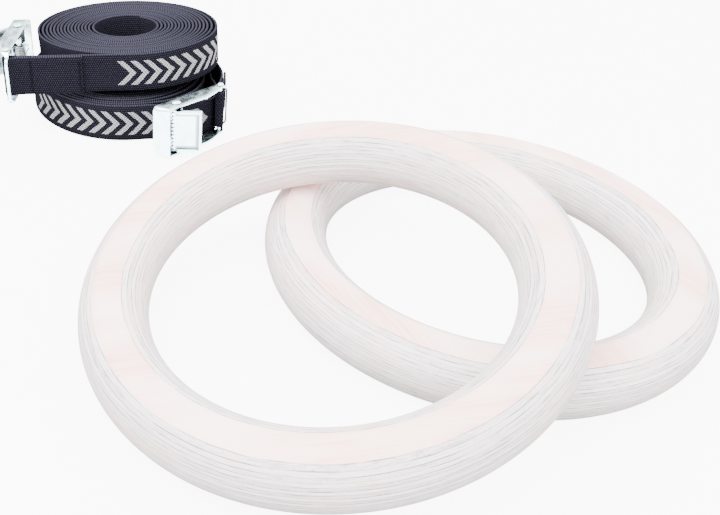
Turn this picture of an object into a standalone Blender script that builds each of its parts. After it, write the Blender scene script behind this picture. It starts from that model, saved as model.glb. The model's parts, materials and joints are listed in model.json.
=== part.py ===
"""Pair of plywood gymnastics rings and their two rolled straps, each with a cam buckle.

The rear ring lies flat. The front ring stands on its edge and leans over the rear one.
The two strap rolls are stacked behind them. Each strap ends in a tail with a sewn eye,
which holds the strap bar of its buckle. Metres, +Z up, origin under the middle of the set.
"""

import math

import bmesh
import bpy
from mathutils import Vector

GAP = 0.0003  # clearance between touching pieces

# Rings
RING_OUTER_DIAMETER = 0.235
RING_TUBE_WIDTH = 0.033
RING_TUBE_HEIGHT = 0.0316  # between the flat lands of the two face veneers
RING_STEPS = 72
SECTION_STEPS = 8  # on each rounded flank

REAR_RING_CENTRE = Vector((0.0910, -0.0345))
LEAN_HEADING = math.radians(36.4)  # from the front ring's centre to the rear one's
CENTRE_DISTANCE = 0.1106
FRONT_LEAN = math.radians(12.2)

# Webbing
WEB_WIDTH = 0.0254
WEB_THICKNESS = 0.0019
ROLL_STEPS = 56
EYE_WIDTH = 0.0248  # the sewn eye is drawn in a little by its stitches

# Cam buckle, in its own frame: X from the strap bar to the bridge, Y towards the lever's side
BUCKLE_WIDTH = 0.034
SHEET = 0.0014
BASE_Y = -0.0026
CHEEK_DEPTH = 0.0100
RIM_X = -0.0080
RIM_DEPTH = 0.0018
RIM_WIDTH = 0.0284
BRIDGE_X = 0.0530
BRIDGE_LEAN = 0.0048
STRAP_BAR_RADIUS = 0.0012
LEVER_PIN_RADIUS = 0.0018
LEVER_PIN_X = 0.0390
LEVER_PIN_Y = 0.0024
HEAD_HEIGHT = 0.0008

# Cam lever, in its own frame: U along the thumb plate, W square to it, origin on the pin
LEVER_ANGLE = math.radians(140.5)
LEVER_WIDTH = 0.0300
BARREL_RADIUS = 0.0042
PLATE_TOP = 0.0056
RIM_TOP = 0.0074
TOOTH_U = -0.0042
TIP_U = 0.0162
LEVER_RIM = 0.0013
TOOTH_PITCH = 0.0018

# Where things lie, measured from the rear ring's centre
LOWER_ROLL = dict(prefix="lower", centre=Vector((-0.2187, 0.1877)), half_axes=(0.0628, 0.0635),
                  hole=(0.0220, 0.0220), base=0.0, tilt=0.0, bar=Vector((-0.1494, 0.1430)),
                  heading=math.radians(-135.6), buckle_base=0.0013, eye_base=0.0059,
                  tacks=(0.0090, 0.0230))
UPPER_ROLL = dict(prefix="upper", centre=Vector((-0.2133, 0.1849)), half_axes=(0.0604, 0.0456),
                  hole=(0.0200, 0.0170), base=WEB_WIDTH + GAP, tilt=math.radians(3.4),
                  bar=Vector((-0.2816, 0.1222)), heading=math.radians(89.0),
                  buckle_base=0.0258, eye_base=0.0304, tacks=(0.0140, 0.0440))

WOOD = ("birch_plywood", (0.90, 0.86, 0.82, 1.0), 0.55, 0.0)
WEBBING = ("black_webbing", (0.020, 0.019, 0.030, 1.0), 0.85, 0.0)
THREAD = ("black_thread", (0.012, 0.012, 0.018, 1.0), 0.70, 0.0)
ZINC = ("zinc_plated_steel", (0.78, 0.82, 0.84, 1.0), 0.28, 1.0)
SPRING_STEEL = ("spring_steel", (0.45, 0.46, 0.48, 1.0), 0.35, 1.0)


def clear_scene():
    for item in list(bpy.data.objects):
        bpy.data.objects.remove(item, do_unlink=True)


def material(spec):
    name, colour, roughness, metallic = spec
    found = bpy.data.materials.get(name)
    if found:
        return found
    made = bpy.data.materials.new(name)
    made.use_nodes = True
    shader = made.node_tree.nodes["Principled BSDF"]
    shader.inputs["Base Color"].default_value = colour
    shader.inputs["Roughness"].default_value = roughness
    shader.inputs["Metallic"].default_value = metallic
    made.diffuse_color = colour
    return made


def add_object(name, verts, faces, spec, parent=None, smooth_angle=35.0):
    """A mesh object with outward faces, shaded smooth except over sharp edges."""
    mesh = bpy.data.meshes.new(name)
    mesh.from_pydata([tuple(v) for v in verts], [], faces)
    shape = bmesh.new()
    shape.from_mesh(mesh)
    bmesh.ops.recalc_face_normals(shape, faces=shape.faces)
    shape.to_mesh(mesh)
    shape.free()
    mesh.shade_smooth()
    mesh.set_sharp_from_angle(angle=math.radians(smooth_angle))
    made = bpy.data.objects.new(name, mesh)
    if spec:
        mesh.materials.append(material(spec))
    bpy.context.collection.objects.link(made)
    made.parent = parent
    return made


def add_empty(name, location, heading=0.0, parent=None):
    made = bpy.data.objects.new(name, None)
    made.location = location
    made.rotation_euler = (0.0, 0.0, heading)
    made.parent = parent
    bpy.context.collection.objects.link(made)
    return made


def cut(target, cutter):
    """Takes the cutter's shape out of the target, and hides the cutter."""
    cutter.hide_render = True
    cutter.display_type = "WIRE"
    step = target.modifiers.new("cut_" + cutter.name, "BOOLEAN")
    step.operation = "DIFFERENCE"
    step.solver = "EXACT"
    step.object = cutter


def closed_grid(rows):
    """Vertices and faces of a band that closes both along its rows and across them."""
    across = len(rows[0])
    verts = [point for row in rows for point in row]
    faces = []
    for i in range(len(rows)):
        j = (i + 1) % len(rows)
        for k in range(across):
            m = (k + 1) % across
            faces.append((i * across + k, j * across + k, j * across + m, i * across + m))
    return verts, faces


def prism(name, outline, low, high, spec, parent=None):
    """An outline in X and Y, pulled up along Z."""
    count = len(outline)
    verts = [(x, y, low) for x, y in outline] + [(x, y, high) for x, y in outline]
    faces = [tuple(range(count)), tuple(range(count, 2 * count))]
    faces += [(k, (k + 1) % count, count + (k + 1) % count, count + k) for k in range(count)]
    return add_object(name, verts, faces, spec, parent)


def arc(centre_x, centre_y, radius, start, end, steps):
    """Points of an arc, with its angles in degrees."""
    angles = [math.radians(start + (end - start) * k / steps) for k in range(steps + 1)]
    return [(centre_x + radius * math.cos(a), centre_y + radius * math.sin(a)) for a in angles]


def drum(name, radius, low, high, spec, parent, x=0.0, y=0.0, head=0.0, steps=20):
    """A pin along Z. With a head radius, a low domed head stands past each end."""
    profile = [(radius, low), (radius, high)]
    if head:
        dome = [(head, 0.0), (head, 0.35), (head * 0.72, 0.85), (head * 0.3, 1.0)]
        bottom = [(r, low - GAP - HEAD_HEIGHT * t) for r, t in reversed(dome)]
        top = [(r, high + GAP + HEAD_HEIGHT * t) for r, t in dome]
        profile = bottom + [(radius, low - GAP), (radius, high + GAP)] + top
    turns = [2 * math.pi * k / steps for k in range(steps)]
    verts = [(r * math.cos(a), r * math.sin(a), z) for r, z in profile for a in turns]
    rows = len(profile)
    faces = [tuple(range(steps)), tuple(range((rows - 1) * steps, rows * steps))]
    for i in range(rows - 1):
        for k in range(steps):
            m = (k + 1) % steps
            faces.append((i * steps + k, i * steps + m, (i + 1) * steps + m, (i + 1) * steps + k))
    made = add_object(name, verts, faces, spec, parent)
    made.location = (x, y, 0.0)
    return made


# Rings

def ring_section():
    """Closed section of the tube: round flanks between two flat lands."""
    radius = RING_TUBE_WIDTH / 2
    top = math.degrees(math.asin(RING_TUBE_HEIGHT / 2 / radius))
    return (arc(0, 0, radius, -top, top, SECTION_STEPS)
            + arc(0, 0, radius, 180 - top, 180 + top, SECTION_STEPS))


def ring_centre_radius():
    return (RING_OUTER_DIAMETER - RING_TUBE_WIDTH) / 2


def add_ring(name):
    section = ring_section()
    rows = []
    for k in range(RING_STEPS):
        a = 2 * math.pi * k / RING_STEPS
        rows.append([((ring_centre_radius() + x) * math.cos(a),
                      (ring_centre_radius() + x) * math.sin(a), y) for x, y in section])
    return add_object(name, *closed_grid(rows), WOOD)


def lowest_reach():
    """How far a leaning ring's lowest point lies below its centre."""
    section_reach = max(-x * math.sin(FRONT_LEAN) - y * math.cos(FRONT_LEAN)
                        for x, y in ring_section())
    return ring_centre_radius() * math.sin(FRONT_LEAN) + section_reach


def build_rings():
    rear = add_ring("rear_ring")
    rear.location = (*REAR_RING_CENTRE, RING_TUBE_HEIGHT / 2)
    front = add_ring("front_ring")
    back = Vector((math.cos(LEAN_HEADING), math.sin(LEAN_HEADING))) * CENTRE_DISTANCE
    front.location = (*(REAR_RING_CENTRE - back), lowest_reach())
    front.rotation_euler = (0.0, -FRONT_LEAN, LEAN_HEADING)


# Straps

def tangent_point(roll):
    """Where the middle of the doubled tail leaves the roll, straight to the strap bar."""
    a, b = (half + GAP + WEB_THICKNESS for half in roll["half_axes"])
    reach = roll["bar"] - roll["centre"]
    scaled = Vector((reach.x / a, reach.y / b))
    turn = math.atan2(scaled.y, scaled.x) + math.acos(1 / scaled.length)
    return roll["centre"] + Vector((a * math.cos(turn), b * math.sin(turn)))


def build_roll(roll):
    """The coiled webbing as one solid. A tilted roll stands on the left end of its lower edge."""
    a, b = roll["half_axes"]
    hole_a, hole_b = roll["hole"]
    low, high, soft = 0.0, WEB_WIDTH, 0.0008
    rows = []
    for k in range(ROLL_STEPS):
        c, s = math.cos(2 * math.pi * k / ROLL_STEPS), math.sin(2 * math.pi * k / ROLL_STEPS)
        corners = [(hole_a, hole_b, low), (a - soft, b - soft, low), (a, b, low + soft),
                   (a, b, high - soft), (a - soft, b - soft, high), (hole_a, hole_b, high)]
        rows.append([(x * c, y * s, z) for x, y, z in corners])
    made = add_object(roll["prefix"] + "_strap_roll", *closed_grid(rows), WEBBING)
    centre = REAR_RING_CENTRE + roll["centre"]
    tilt = roll["tilt"]
    made.location = (centre.x - a + a * math.cos(tilt), centre.y, roll["base"] + a * math.sin(tilt))
    made.rotation_euler = (0.0, -tilt, 0.0)
    return made


def build_tail(roll):
    """The strap's free end: a straight tail, doubled where it is sewn, with an eye on the bar."""
    start = tangent_point(roll)
    run = roll["bar"] - start
    length = run.length
    pivot = REAR_RING_CENTRE + start
    joint = add_empty(roll["prefix"] + "_tail_pivot", (pivot.x, pivot.y, roll["eye_base"]),
                      math.atan2(run.y, run.x))
    eye = STRAP_BAR_RADIUS + GAP + WEB_THICKNESS
    sewn = min(0.046, length - 0.004)
    outline = [(0.0, -WEB_THICKNESS), (length - 0.0060, -WEB_THICKNESS)]
    outline += arc(length, 0.0, eye, -125, 125, 12)
    outline += [(length - 0.0060, WEB_THICKNESS), (length - sewn, WEB_THICKNESS),
                (length - sewn - 0.001, 0.0), (0.0, 0.0)]
    tail = prism(roll["prefix"] + "_strap_end", outline, 0.0, EYE_WIDTH, WEBBING, joint)
    cut(tail, drum(roll["prefix"] + "_eye_hole", STRAP_BAR_RADIUS + GAP, -0.01, 0.05, None,
                   joint, x=length))
    for place, reach in zip(("outer", "inner"), roll["tacks"]):
        x = length - reach
        face = WEB_THICKNESS + GAP
        row = [(x - 0.0008, face), (x + 0.0008, face), (x + 0.0004, face + 0.0005),
               (x - 0.0004, face + 0.0005)]
        prism(roll["prefix"] + "_bartack_" + place, row, 0.0015, EYE_WIDTH - 0.0015, THREAD, joint)
    return joint, length


# Buckle

def frame_path():
    """Middle line of the sheet, once round: rim, far cheek, bridge, near cheek."""
    half, rim_half = BUCKLE_WIDTH / 2 - SHEET / 2, RIM_WIDTH / 2 - SHEET / 2
    side = [(RIM_X, 0.0), (RIM_X, rim_half - 0.004)]
    side += arc(RIM_X + 0.003, rim_half - 0.003, 0.003, 180, 90, 4)
    side += [(-0.0046, rim_half), (-0.0022, half), (0.0030, half), (0.0080, half), (0.0140, half), (0.0190, half),
             (0.0300, half), (0.0420, half), (BRIDGE_X - 0.004, half)]
    side += arc(BRIDGE_X - 0.002, half - 0.002, 0.002, 90, 0, 4)
    side += [(BRIDGE_X, half - 0.008), (BRIDGE_X, 0.0)]
    return side + [(x, -z) for x, z in reversed(side[1:-1])]


def sheet_top(x):
    """How far the sheet's edge stands above the base plane at a distance x from the bar."""
    tip = 0.0052
    if x < -0.0025:
        return RIM_DEPTH
    if x < 0.0030:
        return tip
    rise = min(1.0, (x - 0.0030) / 0.0160)
    return tip + (CHEEK_DEPTH - tip) * math.sin(rise * math.pi / 2)


def build_frame(roll, joint):
    """One sheet bent round into a closed band, with its height above the base varying."""
    path = frame_path()
    count = len(path)
    levels = 4
    rows = []
    for k, (x, z) in enumerate(path):
        ahead, behind = path[(k + 1) % count], path[k - 1]
        run = Vector((ahead[0] - behind[0], ahead[1] - behind[1])).normalized()
        out = Vector((-run.y, run.x)) * SHEET / 2
        top = sheet_top(x)
        on_bridge = max(0.0, (x - (BRIDGE_X - 0.005)) / 0.005)

        def place(side, t):
            lean = BRIDGE_LEAN * on_bridge * t ** 1.6
            return (x + side * out.x - lean, BASE_Y + top * t, z + side * out.y + BUCKLE_WIDTH / 2)

        steps = [i / (levels - 1) for i in range(levels)]
        rows.append([place(1, t) for t in steps] + [place(-1, t) for t in reversed(steps)])
    frame = add_object(roll["prefix"] + "_buckle_frame", *closed_grid(rows), ZINC, joint)
    cut(frame, drum(roll["prefix"] + "_bar_hole", STRAP_BAR_RADIUS + GAP, -0.01, 0.05, None, joint))
    cut(frame, drum(roll["prefix"] + "_pin_hole", LEVER_PIN_RADIUS + GAP, -0.01, 0.05, None, joint,
                    x=LEVER_PIN_X, y=LEVER_PIN_Y))


def lever_outline():
    """Section of the lever: plate with a raised tip, and the barrel round the pin."""
    start = 50.0
    return ([(TIP_U, RIM_TOP), (TOOTH_U + 0.0040, RIM_TOP), (TOOTH_U + 0.0026, PLATE_TOP),
             (TOOTH_U, PLATE_TOP), (TOOTH_U, BARREL_RADIUS), (-0.0032, BARREL_RADIUS)]
            + arc(0, 0, BARREL_RADIUS, 180 - start, 360 + start, 14)
            + [(0.0034, BARREL_RADIUS), (TIP_U, BARREL_RADIUS)])


def tooth_notches(name, joint):
    """Wedges side by side, which leave the row of teeth on the lever's inner edge."""
    verts, faces = [], []
    count = int(LEVER_WIDTH / TOOTH_PITCH)
    for k in range(count):
        z = (k + 0.5) * LEVER_WIDTH / count
        for w in (BARREL_RADIUS - 0.001, PLATE_TOP + 0.001):
            verts += [(TOOTH_U - 0.001, w, z - TOOTH_PITCH * 0.62),
                      (TOOTH_U + 0.0011, w, z),
                      (TOOTH_U - 0.001, w, z + TOOTH_PITCH * 0.62)]
        b = 6 * k
        faces += [(b, b + 1, b + 2), (b + 3, b + 5, b + 4), (b, b + 3, b + 4, b + 1),
                  (b + 1, b + 4, b + 5, b + 2), (b + 2, b + 5, b + 3, b)]
    return add_object(name, verts, faces, None, joint)


def box(name, low, high, joint):
    (x0, y0, z0), (x1, y1, z1) = low, high
    return prism(name, [(x0, y0), (x1, y0), (x1, y1), (x0, y1)], z0, z1, None, joint)


def build_lever(roll, joint):
    prefix = roll["prefix"]
    pivot = add_empty(prefix + "_lever_pivot",
                      (LEVER_PIN_X, LEVER_PIN_Y, (BUCKLE_WIDTH - LEVER_WIDTH) / 2),
                      LEVER_ANGLE, joint)
    lever = prism(prefix + "_cam_lever", [(u, -w) for u, w in lever_outline()],
                  0.0, LEVER_WIDTH, ZINC, pivot)
    cut(lever, drum(prefix + "_lever_bore", LEVER_PIN_RADIUS + GAP, -0.01, 0.05, None, pivot))
    middle = LEVER_WIDTH / 2
    cut(lever, box(prefix + "_spring_room", (-0.0060, -BARREL_RADIUS + 0.0002, middle - 0.0065),
                   (0.0060, 0.0060, middle + 0.0065), pivot))
    cut(lever, box(prefix + "_thumb_dish", (TOOTH_U - 0.001, -0.0090, LEVER_RIM),
                   (TIP_U - LEVER_RIM, -PLATE_TOP, LEVER_WIDTH - LEVER_RIM), pivot))
    notches = tooth_notches(prefix + "_tooth_notches", pivot)
    notches.scale = (1.0, -1.0, 1.0)
    cut(lever, notches)


def build_spring(roll, joint):
    """Torsion spring: a close coil round the pin, with one leg to the bridge and one forward."""
    radius, wire, turns, steps = 0.0029, 0.0004, 5, 14
    points = [(0.0110, -radius, -0.5 * turns * 0.0011)]
    for k in range(turns * steps + steps // 2 + 1):
        a = -math.pi / 2 - 2 * math.pi * k / steps
        points.append((radius * math.cos(a), radius * math.sin(a),
                       (k / steps - 0.5 * turns) * 0.0011))
    last = points[-1]
    points.append((last[0] - 0.006, last[1], last[2]))
    curve = bpy.data.curves.new(roll["prefix"] + "_cam_spring", "CURVE")
    curve.dimensions = "3D"
    curve.bevel_depth = wire
    curve.bevel_resolution = 1
    curve.use_fill_caps = True
    line = curve.splines.new("POLY")
    line.points.add(len(points) - 1)
    for point, place in zip(line.points, points):
        point.co = (*place, 1.0)
    curve.materials.append(material(SPRING_STEEL))
    made = bpy.data.objects.new(roll["prefix"] + "_cam_spring", curve)
    made.parent = joint
    made.location = (LEVER_PIN_X, LEVER_PIN_Y, BUCKLE_WIDTH / 2)
    bpy.context.collection.objects.link(made)


def build_buckle(roll):
    bar = REAR_RING_CENTRE + roll["bar"]
    joint = add_empty(roll["prefix"] + "_buckle_pivot", (bar.x, bar.y, roll["buckle_base"]),
                      roll["heading"])
    build_frame(roll, joint)
    drum(roll["prefix"] + "_strap_bar", STRAP_BAR_RADIUS, 0.0, BUCKLE_WIDTH, ZINC, joint,
         head=STRAP_BAR_RADIUS + 0.0009)
    drum(roll["prefix"] + "_lever_pin", LEVER_PIN_RADIUS, 0.0, BUCKLE_WIDTH, ZINC, joint,
         x=LEVER_PIN_X, y=LEVER_PIN_Y, head=LEVER_PIN_RADIUS + 0.0012)
    build_lever(roll, joint)
    build_spring(roll, joint)


def build():
    clear_scene()
    build_rings()
    for roll in (LOWER_ROLL, UPPER_ROLL):
        build_roll(roll)
        build_tail(roll)
        build_buckle(roll)


build()
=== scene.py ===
"""Looks for the two rings, the two rolled straps and their cam buckles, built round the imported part."""

import json
import math

import bmesh
import bpy
import numpy as np
from mathutils import Matrix, Vector

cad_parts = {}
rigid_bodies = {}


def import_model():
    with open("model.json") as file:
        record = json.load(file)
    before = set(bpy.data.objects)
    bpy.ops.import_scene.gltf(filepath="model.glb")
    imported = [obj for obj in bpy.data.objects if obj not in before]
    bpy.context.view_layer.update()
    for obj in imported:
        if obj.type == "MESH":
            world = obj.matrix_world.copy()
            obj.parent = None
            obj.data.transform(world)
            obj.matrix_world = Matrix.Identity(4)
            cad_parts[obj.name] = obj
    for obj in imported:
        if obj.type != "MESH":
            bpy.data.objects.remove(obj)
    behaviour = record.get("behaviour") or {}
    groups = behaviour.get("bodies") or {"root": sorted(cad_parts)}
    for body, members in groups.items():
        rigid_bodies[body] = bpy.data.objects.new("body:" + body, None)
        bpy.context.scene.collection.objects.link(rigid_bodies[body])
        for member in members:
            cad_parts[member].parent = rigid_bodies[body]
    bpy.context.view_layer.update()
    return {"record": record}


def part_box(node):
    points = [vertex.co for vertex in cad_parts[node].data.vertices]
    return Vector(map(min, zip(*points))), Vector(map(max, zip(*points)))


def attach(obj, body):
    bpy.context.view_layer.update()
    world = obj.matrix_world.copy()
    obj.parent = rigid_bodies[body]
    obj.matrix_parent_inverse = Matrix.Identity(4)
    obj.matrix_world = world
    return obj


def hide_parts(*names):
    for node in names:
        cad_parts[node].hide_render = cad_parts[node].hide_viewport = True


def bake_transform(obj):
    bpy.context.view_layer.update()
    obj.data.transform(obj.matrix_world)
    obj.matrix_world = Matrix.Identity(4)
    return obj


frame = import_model()
record = frame["record"]
joint_at = {j["name"]: Vector(j["pos_m"])
            for j in record["behaviour"]["joints"] if "pos_m" in j}

MM = 0.001

# Rings
TUBE_WIDTH = 33.0 * MM
TUBE_HEIGHT = 31.6 * MM
FACE_VENEER = 0.95 * MM
INNER_PLIES = 21
REAR_GRAIN = math.radians(118)
FRONT_GRAIN = math.radians(-31)

# Webbing
WEB_WIDTH = 25.1 * MM
WEB_THICKNESS = 1.68 * MM
CAD_WEB_THICKNESS = 1.9 * MM
CAD_WEB_WIDTH = 25.4 * MM
GAP = 0.3 * MM
ROLL_STEP = 2.2 * MM
TAIL_STEP = 0.8 * MM
YARN_PITCH = 1.40 * MM
RIB_PITCH = 1.45 * MM
MARK_LOW, MARK_HIGH = 4.3 * MM, 20.5 * MM
MARK_PITCH = 8.6 * MM
MARK_STITCH = 2.1 * MM
TACK_STITCHES = 24
TACK_MARGIN = 2.0 * MM
TACK_HALF_WIDTH = 0.75 * MM
THREAD_RADIUS = 0.24 * MM

# Buckle, in its own frame: X from the strap bar to the bridge, Y towards the lever's side
BUCKLE_WIDTH = 34.0 * MM
SHEET = 1.2 * MM
SHEET_CORNER = 0.38 * MM
BASE_Y = -2.6 * MM
CHEEK_DEPTH = 10.0 * MM
NECK_DEPTH = 5.2 * MM
RIM_X = -8.0 * MM
RIM_DEPTH = 1.8 * MM
RIM_WIDTH = 28.4 * MM
RIM_CORNER = 3.0 * MM
BRIDGE_X = 53.0 * MM
BRIDGE_LEAN = 4.8 * MM
BRIDGE_CORNER = 2.6 * MM
STRAP_BAR_RADIUS = 1.2 * MM
LEVER_PIN_RADIUS = 1.8 * MM
LEVER_PIN = Vector((39.0 * MM, 2.4 * MM))
HEAD_HEIGHT = 0.8 * MM
LEVER_ANGLE = math.radians(140.5)
LEVER_WIDTH = 28.6 * MM
BARREL_RADIUS = 4.2 * MM
PLATE_TOP = 5.2 * MM
RIM_TOP = 7.4 * MM
TOOTH_U = -3.4 * MM
TIP_U = 16.2 * MM
LEVER_RIM = 1.6 * MM
TOOTH_PITCH = 2.4 * MM
TOOTH_DEPTH = 2.8 * MM
TOOTH_LIP = 3.0 * MM
LIP_TO_RIM = 4.4 * MM
SPRING_ROOM = 13.0 * MM
SPRING_RADIUS = 2.9 * MM
SPRING_PITCH = 1.1 * MM
SPRING_TURNS = 5
SPRING_WIRE = 0.4 * MM

# Circles inside the back of the lower buckle that the slack second turn of webbing goes round,
# as X, Y and radius in the buckle's frame
NEST = ((1.6 * MM, -8.6 * MM, 4.0 * MM), (21.0 * MM, -13.9 * MM, 6.5 * MM))

# Each strap:
#   turns: turns of the roll
#   hole: half the width of the hole in the roll, along X and Y
#   tilt: lean of the roll
#   tacks: distance of the two seams from the strap bar
#   sewn: length of the doubled end
#   rise: length of roll over which the strap climbs to the height of its tail
#   bulge: how far the tail bows; any bow also makes the second turn slack
#   marks: pale bands, as distances into the roll from where the tail leaves it
STRAPS = {
    "lower": dict(turns=14.3, hole=(22.0 * MM, 22.0 * MM), tilt=0.0, tacks=(9.0 * MM, 23.0 * MM),
                  sewn=30.0 * MM, rise=150.0 * MM, bulge=3.5 * MM,
                  marks=((0.224, 0.337), (0.344, 0.3526))),
    "upper": dict(turns=16.4, hole=(20.0 * MM, 17.0 * MM), tilt=math.radians(3.4),
                  tacks=(14.0 * MM, 44.0 * MM), sewn=46.0 * MM, rise=60.0 * MM, bulge=0.0,
                  marks=((-0.018, 0.094), (0.122, 0.230))),
}


# Shader helpers

class Net:
    """Adds shader nodes to one new material and joins them."""

    def __init__(self, name):
        self.material = bpy.data.materials.new(name)
        self.material.use_nodes = True
        self.tree = self.material.node_tree
        self.shader = self.tree.nodes["Principled BSDF"]

    def node(self, kind, inputs=None, **settings):
        made = self.tree.nodes.new(kind)
        for key, value in settings.items():
            setattr(made, key, value)
        for key, value in (inputs or {}).items():
            self.feed(made.inputs[key], value)
        return made

    def feed(self, socket, value):
        if isinstance(value, bpy.types.NodeSocket):
            self.tree.links.new(value, socket)
        else:
            socket.default_value = value

    def math(self, operation, *values, clamp=False):
        return self.node("ShaderNodeMath", dict(enumerate(values)), operation=operation,
                         use_clamp=clamp).outputs[0]

    def ramp(self, value, low, high, out_low=0.0, out_high=1.0):
        return self.node("ShaderNodeMapRange", {0: value, 1: low, 2: high, 3: out_low, 4: out_high},
                         interpolation_type="SMOOTHSTEP").outputs[0]

    def mix(self, share, first, second, blend="MIX"):
        return self.node("ShaderNodeMix", {0: share, 6: first, 7: second}, data_type="RGBA",
                         blend_type=blend).outputs[2]

    def split(self, vector):
        return self.node("ShaderNodeSeparateXYZ", {0: vector}).outputs[:3]

    def join(self, x=0.0, y=0.0, z=0.0):
        return self.node("ShaderNodeCombineXYZ", {0: x, 1: y, 2: z}).outputs[0]

    def place(self, kind="Object"):
        return self.node("ShaderNodeTexCoord").outputs[kind]

    def local(self, axes):
        """Coordinates in a matrix's frame, on a piece whose mesh is in the row frame."""
        return self.node("ShaderNodeMapping", {"Vector": self.place(), "Location": axes.translation,
                                               "Rotation": axes.to_euler("XYZ")},
                         vector_type="TEXTURE").outputs[0]

    def stretch(self, vector, factors, shift=(0.0, 0.0, 0.0)):
        return self.node("ShaderNodeMapping", {"Vector": vector, "Scale": factors,
                                               "Location": shift}).outputs[0]

    def noise(self, vector, scale=1.0, detail=2.0, roughness=0.5):
        return self.node("ShaderNodeTexNoise", {"Vector": vector, "Scale": scale, "Detail": detail,
                                                "Roughness": roughness}).outputs[0]

    def chance(self, value):
        return self.node("ShaderNodeTexWhiteNoise", {"W": value},
                         noise_dimensions="1D").outputs["Value"]

    def bump(self, height, distance, strength=1.0, under=None):
        inputs = {"Height": height, "Distance": distance, "Strength": strength}
        if under is not None:
            inputs["Normal"] = under
        return self.node("ShaderNodeBump", inputs).outputs[0]

    def finish(self, colour, roughness, normal=None, **constants):
        self.feed(self.shader.inputs["Base Color"], colour)
        self.feed(self.shader.inputs["Roughness"], roughness)
        if normal is not None:
            self.feed(self.shader.inputs["Normal"], normal)
        for key, value in constants.items():
            self.shader.inputs[key.replace("_", " ")].default_value = value
        return self.material


def rgb(red, green, blue):
    return (red, green, blue, 1.0)


def birch(name, seed, axes):
    """Whitewashed birch plywood: a pale face veneer, and thin plies with broken grey glue lines."""
    n = Net(name)
    place = n.local(axes)
    x, y, z = n.split(place)
    sway = n.noise(n.stretch(place, (28, 28, 160), (seed, 0, 0)), detail=2)
    level = n.math("ADD", z, n.math("MULTIPLY", n.math("SUBTRACT", sway, 0.5), 0.9 * MM))
    half = TUBE_HEIGHT / 2 - FACE_VENEER
    ply = 2 * half / INNER_PLIES
    count = n.math("DIVIDE", n.math("ADD", level, half), ply)
    number = n.math("FLOOR", count)
    edge = n.math("MULTIPLY", n.math("ABSOLUTE", n.math("SUBTRACT", n.math("FRACT", count), 0.5)), 2.0)

    across = n.math("ADD", n.math("MULTIPLY", x, x), n.math("MULTIPLY", y, y))
    along_x = n.math("DIVIDE", n.math("MULTIPLY", x, x), across)
    odd = n.math("PINGPONG", number, 1.0)
    ends = n.math("ADD", n.math("MULTIPLY", odd, along_x),
                  n.math("MULTIPLY", n.math("SUBTRACT", 1.0, odd), n.math("SUBTRACT", 1.0, along_x)))

    tone = n.chance(n.math("ADD", number, 17.0 + seed))
    streak = n.noise(n.stretch(place, (110, 110, 2600), (seed, 3, 0)), detail=4, roughness=0.62)
    speck = n.noise(n.stretch(place, (700, 700, 3400), (seed, 5, 0)), detail=2)
    cloud = n.noise(n.stretch(place, (22, 22, 60), (seed, 9, 0)), detail=2)
    gaps = n.ramp(n.noise(n.stretch(place, (75, 75, 900), (seed, 1, 0)), detail=3), 0.40, 0.62)

    dark = n.math("MULTIPLY", ends, n.ramp(speck, 0.35, 0.75, 0.10, 0.40))
    dark = n.math("ADD", dark, n.math("MULTIPLY", tone, 0.28))
    dark = n.math("ADD", dark, n.ramp(streak, 0.45, 0.75, 0.0, 0.50), clamp=True)
    side = n.mix(dark, rgb(0.870, 0.795, 0.790), rgb(0.265, 0.226, 0.226))
    side = n.mix(n.ramp(cloud, 0.42, 0.7, 0.0, 0.45), side, rgb(0.800, 0.570, 0.530))

    face_mask = n.ramp(n.math("ABSOLUTE", level), half - 0.05 * MM, half + 0.05 * MM)
    grain = n.noise(n.stretch(place, (26, 620, 60), (seed, 2, 0)), detail=5, roughness=0.65)
    patch = n.noise(n.stretch(place, (14, 40, 10), (seed, 4, 0)), detail=2)
    face = n.mix(n.ramp(grain, 0.38, 0.72), rgb(0.880, 0.580, 0.500), rgb(0.780, 0.440, 0.370))
    face = n.mix(n.ramp(patch, 0.35, 0.62, 0.0, 0.85), face, rgb(0.940, 0.740, 0.690))

    line = n.math("MULTIPLY", n.ramp(edge, 0.74, 0.95), n.ramp(gaps, 0.0, 1.0, 0.35, 1.0))
    line = n.math("MULTIPLY", line, n.math("SUBTRACT", 1.0, face_mask))
    border = n.math("ABSOLUTE", n.math("SUBTRACT", n.math("ABSOLUTE", level), half - 0.02 * MM))
    broken = n.noise(n.stretch(place, (60, 60, 20), (seed, 6, 0)), detail=2)
    border = n.math("MULTIPLY", n.ramp(border, 0.02 * MM, 0.10 * MM, 1.0, 0.0),
                    n.ramp(broken, 0.42, 0.60, 0.15, 1.0))
    line = n.math("MAXIMUM", line, border)
    colour = n.mix(face_mask, side, face)
    colour = n.mix(n.math("MULTIPLY", line, 0.88), colour, rgb(0.066, 0.056, 0.058))
    roughness = n.ramp(streak, 0.3, 0.8, 0.42, 0.62)
    normal = n.bump(n.math("MULTIPLY", line, -1.0), 0.09 * MM)
    normal = n.bump(n.mix(face_mask, streak, grain), 0.05 * MM, under=normal)
    return n.finish(colour, roughness, normal)


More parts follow.
